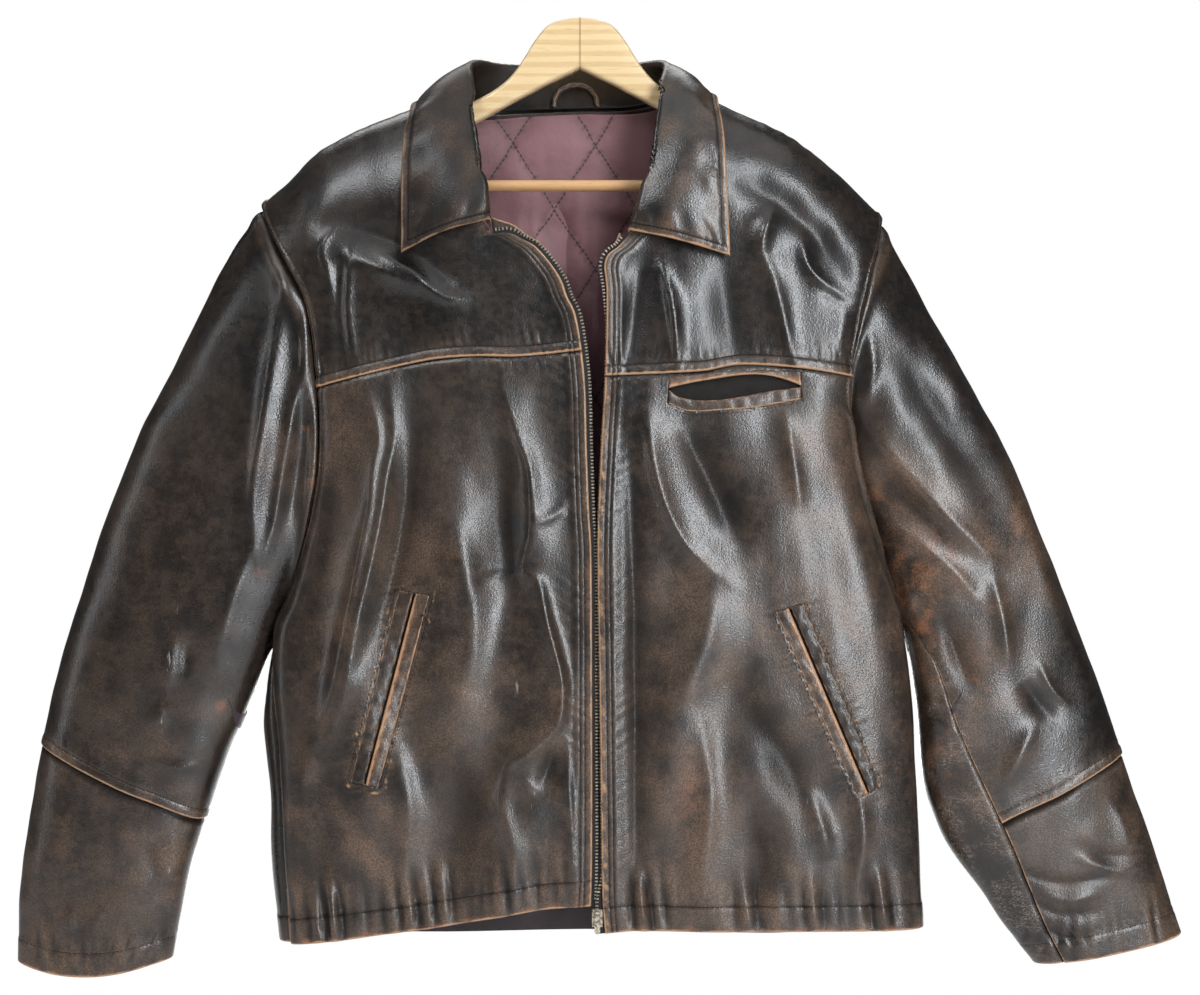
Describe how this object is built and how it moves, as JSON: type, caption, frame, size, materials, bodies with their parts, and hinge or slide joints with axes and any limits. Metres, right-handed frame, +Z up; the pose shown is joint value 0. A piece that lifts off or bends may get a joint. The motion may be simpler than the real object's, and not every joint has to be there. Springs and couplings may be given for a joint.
{
  "type": "worn leather coat on a wooden hanger",
  "caption": "Waist-length leather coat with an open zip front, turn-down collar and slanted pockets, hanging on a plain wooden hanger.",
  "frame": {"origin": "mouth of the blind hole for a hook, at the top of the hanger's board", "axes": "+Z up, -Y out of the front of the coat, +X towards the wearer's left sleeve"},
  "size_m": [0.9758, 0.1166, 0.8008],
  "materials": {
    "dark_leather": "semi-gloss, finely grained, rubbed brown along its edges",
    "worn_leather": "satin, mottled brown with orange scuffs",
    "quilted_lining": "satin cloth quilted in diamonds",
    "zip_tape": "matte woven tape",
    "pocket_cloth": "matte",
    "zip_metal": "worn satin",
    "board_wood": "clear satin varnish",
    "bar_wood": "clear satin varnish"
  },
  "bodies": {
    "coat": {"back_lining": "quilted_lining", "back_panel": "dark_leather", "chest_pocket_facing": "pocket_cloth", "chest_pocket_lower_welt": "dark_leather", "chest_pocket_upper_welt": "dark_leather", "collar": "dark_leather", "facing_left": "dark_leather", "facing_right": "dark_leather", "front_left_lower": "worn_leather", "front_left_yoke": "dark_leather", "front_right_lower": "worn_leather", "front_right_yoke": "dark_leather", "hand_pocket_left_facing": "pocket_cloth", "hand_pocket_left_front_welt": "dark_leather", "hand_pocket_left_side_welt": "dark_leather", "hand_pocket_right_facing": "pocket_cloth", "hand_pocket_right_front_welt": "dark_leather", "hand_pocket_right_side_welt": "dark_leather", "hanger_bar": "bar_wood", "hanger_board": "board_wood", "hanging_loop": "worn_leather", "sleeve_left_forearm": "worn_leather", "sleeve_left_top": "dark_leather", "sleeve_left_under": "dark_leather", "sleeve_right_forearm": "worn_leather", "sleeve_right_top": "dark_leather", "sleeve_right_under": "dark_leather", "zip_slider": "zip_metal", "zip_tape_left": "zip_tape", "zip_tape_right": "zip_tape"},
    "pull_tab": {"pull_tab": "zip_metal"}
  },
  "joints": [
    {"name": "pull_tab_hinge", "type": "hinge", "parent": "coat", "child": "pull_tab", "pos_m": [0.0146, -0.05214, -0.7425], "axis": [-1, 0, 0], "range_deg": [0, 165]}
  ]
}
